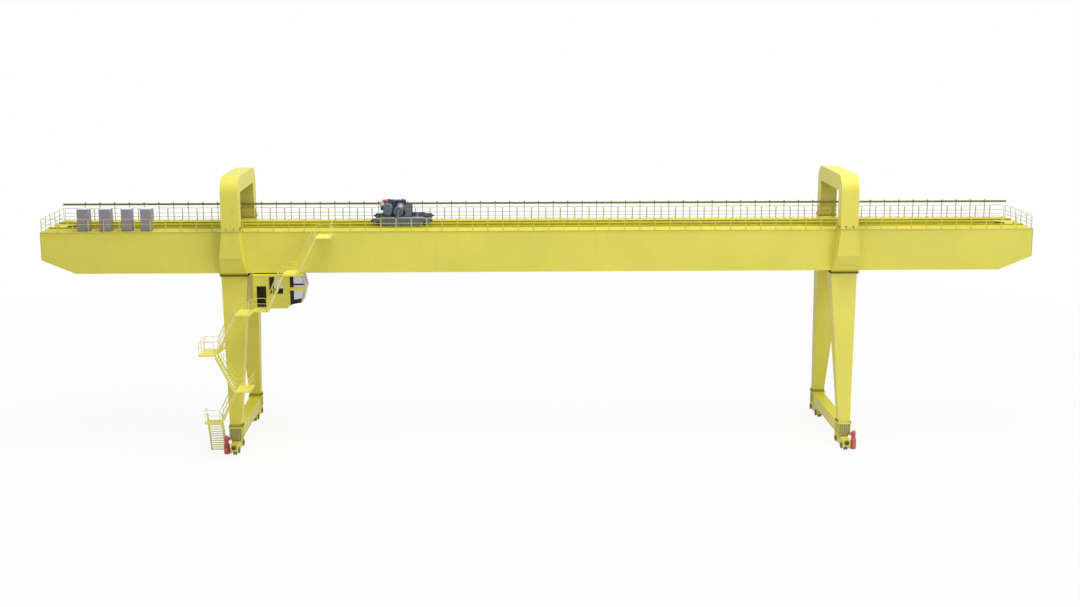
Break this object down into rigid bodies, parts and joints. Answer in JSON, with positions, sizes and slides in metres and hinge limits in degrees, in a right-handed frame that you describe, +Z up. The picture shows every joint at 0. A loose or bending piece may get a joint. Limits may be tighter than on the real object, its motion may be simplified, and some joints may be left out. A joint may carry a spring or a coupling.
{
  "type": "gantry crane, 1:10 scale model",
  "caption": "Yellow double-girder gantry crane on portal legs with travel wheels, driver's cab, zigzag stair, guard rails and a travelling hoist trolley, as a 1:10 scale model.",
  "frame": {"origin": "on the ground in the middle of the outline box: halfway along the girders, 70 mm towards the stair from the portal centre line", "axes": "+X along the girders to the right, +Y away from the stair side, +Z up"},
  "size_m": [8.102, 1.52, 2.25],
  "materials": {
    "crane_yellow": "satin industrial enamel",
    "guard_yellow": "satin industrial enamel",
    "trolley_slate": "satin industrial enamel",
    "cabinet_grey": "satin powder coat",
    "motor_red": "satin enamel",
    "rail_steel": "weathered steel",
    "wheel_iron": "dark cast, worn tread",
    "drum_steel": "brushed",
    "cab_glass": "tinted safety glass"
  },
  "bodies": {
    "crane_frame": {"front_girder": "crane_yellow", "rear_girder": "crane_yellow", "end_ties": "crane_yellow", "trolley_rails": "rail_steel", "trolley_end_stops": "crane_yellow", "left_arch": "crane_yellow", "right_arch": "crane_yellow", "left_saddles": "crane_yellow", "right_saddles": "crane_yellow", "front_left_leg": "crane_yellow", "front_right_leg": "crane_yellow", "rear_left_leg": "crane_yellow", "rear_right_leg": "crane_yellow", "left_bottom_beam": "crane_yellow", "right_bottom_beam": "crane_yellow", "front_left_bogie": "crane_yellow", "front_right_bogie": "crane_yellow", "rear_left_bogie": "crane_yellow", "rear_right_bogie": "crane_yellow", "left_travel_motors": "motor_red", "right_travel_motors": "motor_red", "stair_flight_1": "guard_yellow", "stair_flight_2": "guard_yellow", "stair_flight_3": "guard_yellow", "stair_flight_4": "guard_yellow", "stair_flight_5": "guard_yellow", "stair_flight_6": "guard_yellow", "stair_treads": "guard_yellow", "stair_landings": "guard_yellow", "landing_guards": "guard_yellow", "cab_shell": "crane_yellow", "cab_glazing": "cab_glass", "electrical_cabinets": "cabinet_grey", "front_guard": "guard_yellow", "rear_guard": "guard_yellow", "end_guards": "guard_yellow", "cable_rail": "rail_steel"},
    "trolley": {"trolley_frame": "trolley_slate", "hoist_drum": "drum_steel", "hoist_machinery": "trolley_slate", "trolley_control_box": "trolley_slate", "hook_block": "motor_red"},
    "trolley_wheelset_left": {"trolley_wheelset_left": "wheel_iron"},
    "trolley_wheelset_right": {"trolley_wheelset_right": "wheel_iron"},
    "front_left_wheel_a": {"front_left_wheel_a": "wheel_iron"},
    "front_left_wheel_b": {"front_left_wheel_b": "wheel_iron"},
    "front_right_wheel_a": {"front_right_wheel_a": "wheel_iron"},
    "front_right_wheel_b": {"front_right_wheel_b": "wheel_iron"},
    "rear_left_wheel_a": {"rear_left_wheel_a": "wheel_iron"},
    "rear_left_wheel_b": {"rear_left_wheel_b": "wheel_iron"},
    "rear_right_wheel_a": {"rear_right_wheel_a": "wheel_iron"},
    "rear_right_wheel_b": {"rear_right_wheel_b": "wheel_iron"}
  },
  "joints": [
    {"name": "trolley_travel", "type": "slide", "parent": "crane_frame", "child": "trolley", "axis": [1, 0, 0], "range_m": [-2.54, 4.83]},
    {"name": "trolley_wheelset_left_roll", "type": "hinge", "parent": "trolley", "child": "trolley_wheelset_left", "pos_m": [-1.336, 0.07, 1.8383], "axis": [0, 1, 0], "continuous": true},
    {"name": "trolley_wheelset_right_roll", "type": "hinge", "parent": "trolley", "child": "trolley_wheelset_right", "pos_m": [-0.954, 0.07, 1.8383], "axis": [0, 1, 0], "continuous": true},
    {"name": "front_left_wheel_a_roll", "type": "hinge", "parent": "crane_frame", "child": "front_left_wheel_a", "pos_m": [-2.504, -0.5475, 0.04], "axis": [1, 0, 0], "continuous": true},
    {"name": "front_left_wheel_b_roll", "type": "hinge", "parent": "crane_frame", "child": "front_left_wheel_b", "pos_m": [-2.504, -0.3315, 0.04], "axis": [1, 0, 0], "continuous": true},
    {"name": "front_right_wheel_a_roll", "type": "hinge", "parent": "crane_frame", "child": "front_right_wheel_a", "pos_m": [2.504, -0.5475, 0.04], "axis": [1, 0, 0], "continuous": true},
    {"name": "front_right_wheel_b_roll", "type": "hinge", "parent": "crane_frame", "child": "front_right_wheel_b", "pos_m": [2.504, -0.3315, 0.04], "axis": [1, 0, 0], "continuous": true},
    {"name": "rear_left_wheel_a_roll", "type": "hinge", "parent": "crane_frame", "child": "rear_left_wheel_a", "pos_m": [-2.504, 0.6875, 0.04], "axis": [1, 0, 0], "continuous": true},
    {"name": "rear_left_wheel_b_roll", "type": "hinge", "parent": "crane_frame", "child": "rear_left_wheel_b", "pos_m": [-2.504, 0.4715, 0.04], "axis": [1, 0, 0], "continuous": true},
    {"name": "rear_right_wheel_a_roll", "type": "hinge", "parent": "crane_frame", "child": "rear_right_wheel_a", "pos_m": [2.504, 0.6875, 0.04], "axis": [1, 0, 0], "continuous": true},
    {"name": "rear_right_wheel_b_roll", "type": "hinge", "parent": "crane_frame", "child": "rear_right_wheel_b", "pos_m": [2.504, 0.4715, 0.04], "axis": [1, 0, 0], "continuous": true}
  ],
  "couplings": [
    {"joint": "trolley_wheelset_left_roll", "follows": "trolley_travel", "rad_per_m": 40},
    {"joint": "trolley_wheelset_right_roll", "follows": "trolley_travel", "rad_per_m": 40}
  ]
}
